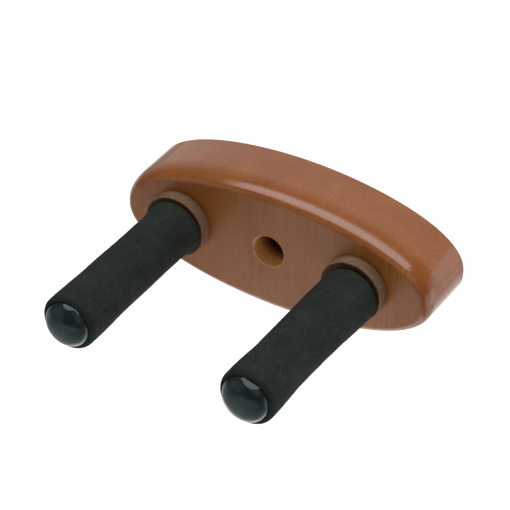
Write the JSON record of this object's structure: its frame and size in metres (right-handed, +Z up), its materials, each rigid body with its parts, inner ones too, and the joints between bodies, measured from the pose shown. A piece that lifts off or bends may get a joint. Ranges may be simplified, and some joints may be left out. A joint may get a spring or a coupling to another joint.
{
  "type": "guitar wall hanger",
  "caption": "Oval hardwood wall plate with foam-padded, dome-capped pegs that hold a guitar by its headstock.",
  "frame": {"origin": "on the axis of the wall screw's hole, in the plane of the wall, which is the plate's back face", "axes": "+Z up the wall, +X to the right as seen from the room, -Y straight out of the wall along the pegs"},
  "size_m": [0.14, 0.117, 0.0544],
  "materials": {
    "plate_wood": "reddish-brown stain under gloss lacquer",
    "collar_wood": "brown stain under satin lacquer",
    "dowel_wood": "bare beech",
    "foam": "matt closed-cell foam",
    "cap_vinyl": "gloss black vinyl",
    "zinc_steel": "zinc plated"
  },
  "bodies": {
    "root": {"backplate": "plate_wood", "left_collar": "collar_wood", "right_collar": "collar_wood", "left_peg_dowel": "dowel_wood", "right_peg_dowel": "dowel_wood", "left_foam_sleeve": "foam", "right_foam_sleeve": "foam", "left_end_cap": "cap_vinyl", "right_end_cap": "cap_vinyl", "left_peg_screw": "zinc_steel", "right_peg_screw": "zinc_steel", "left_screw_washer": "zinc_steel", "right_screw_washer": "zinc_steel"}
  },
  "joints": []
}
